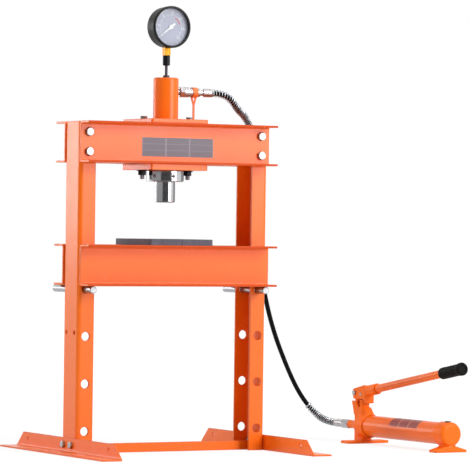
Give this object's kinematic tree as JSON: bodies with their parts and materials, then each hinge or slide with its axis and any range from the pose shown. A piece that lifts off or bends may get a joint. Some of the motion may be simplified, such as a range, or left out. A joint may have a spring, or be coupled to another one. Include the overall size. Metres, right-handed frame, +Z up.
{
  "type": "hydraulic shop press",
  "caption": "H-frame hydraulic shop press with a pinned height-set table, clamped cylinder, pressure gauge and a separate lever hand pump joined by a hose.",
  "frame": {"origin": "on the floor under the middle of the frame, on the underside of the lower crossbar", "axes": "+X to the right as seen from the front, towards the pump, +Y to the back, +Z up"},
  "size_m": [1.027, 0.6906, 1.0945],
  "materials": {
    "orange_paint": "gloss",
    "zinc_steel": "satin",
    "chrome": "polished",
    "blackened_steel": "satin",
    "plate_steel": "satin",
    "brass": "satin",
    "black_plastic": "matte",
    "dial": "matte",
    "pointer": "matte",
    "glass": "clear",
    "hose_rubber": "satin",
    "orange_rubber": "satin",
    "label": "satin"
  },
  "bodies": {
    "press_frame": {"left_post": "orange_paint", "right_post": "orange_paint", "left_foot": "orange_paint", "right_foot": "orange_paint", "lower_crossbar": "orange_paint", "front_upper_beam": "orange_paint", "rear_upper_beam": "orange_paint", "table_front_channel": "orange_paint", "table_rear_channel": "orange_paint", "left_table_spacer": "orange_paint", "right_table_spacer": "orange_paint", "upper_clamp_plate": "orange_paint", "lower_clamp_plate": "orange_paint", "cylinder_tube": "orange_paint", "pump_head": "orange_paint", "pump_tank": "orange_paint", "pump_end_cap": "orange_paint", "plunger_gland": "orange_paint", "beam_bolts": "zinc_steel", "beam_nuts": "zinc_steel", "foot_bolts": "zinc_steel", "foot_nuts": "zinc_steel", "left_table_pin": "zinc_steel", "right_table_pin": "zinc_steel", "clamp_bolts": "blackened_steel", "clamp_nuts": "blackened_steel", "clamp_washers": "blackened_steel", "gauge_coupling": "blackened_steel", "filler_plug": "blackened_steel", "left_arbor_plate": "plate_steel", "right_arbor_plate": "plate_steel", "ring_nut": "chrome", "cylinder_port_nipple": "chrome", "coupler_swivel_nut": "chrome", "coupler_socket": "chrome", "coupler_plug": "chrome", "upper_hose_ferrule": "chrome", "lower_hose_ferrule": "chrome", "hose_nut": "chrome", "upper_spring_guard": "chrome", "lower_spring_guard": "chrome", "gauge_stem": "chrome", "gauge_shank": "brass", "gauge_case": "black_plastic", "gauge_bezel": "black_plastic", "gauge_dial": "dial", "gauge_glass": "glass", "hose": "hose_rubber", "dust_cap_strap": "orange_rubber", "label_plate": "label"},
    "ram": {"ram": "chrome", "ram_seal": "hose_rubber"},
    "gauge_pointer": {"gauge_pointer": "pointer"},
    "pump_lever": {"pump_lever": "orange_paint", "handle_pipe": "orange_paint", "handle_grip": "black_plastic", "lever_pivot_pin": "zinc_steel", "plunger_pin": "zinc_steel"},
    "plunger": {"plunger": "chrome"},
    "release_valve": {"release_valve": "blackened_steel"}
  },
  "joints": [
    {"name": "ram_slide", "type": "slide", "parent": "press_frame", "child": "ram", "axis": [0, 0, -1], "range_m": [0, 0.085]},
    {"name": "gauge_pointer_turn", "type": "hinge", "parent": "press_frame", "child": "gauge_pointer", "pos_m": [-0.007, -0.0212, 1.043], "axis": [0, 1, 0], "range_deg": [0, 270]},
    {"name": "lever_swing", "type": "hinge", "parent": "press_frame", "child": "pump_lever", "pos_m": [0.64973, 0.14897, 0.129], "axis": [-0.999, -0.0436, 0], "range_deg": [0, 50]},
    {"name": "plunger_slide", "type": "slide", "parent": "press_frame", "child": "plunger", "axis": [0, 0, 1], "range_m": [0, 0.0216]},
    {"name": "release_valve_turn", "type": "hinge", "parent": "press_frame", "child": "release_valve", "pos_m": [0.65013, 0.13998, 0.03], "axis": [0.999, 0.0436, 0], "range_deg": [0, 180]}
  ],
  "couplings": [
    {"joint": "plunger_slide", "follows": "lever_swing", "m_per_rad": 0.0247}
  ]
}
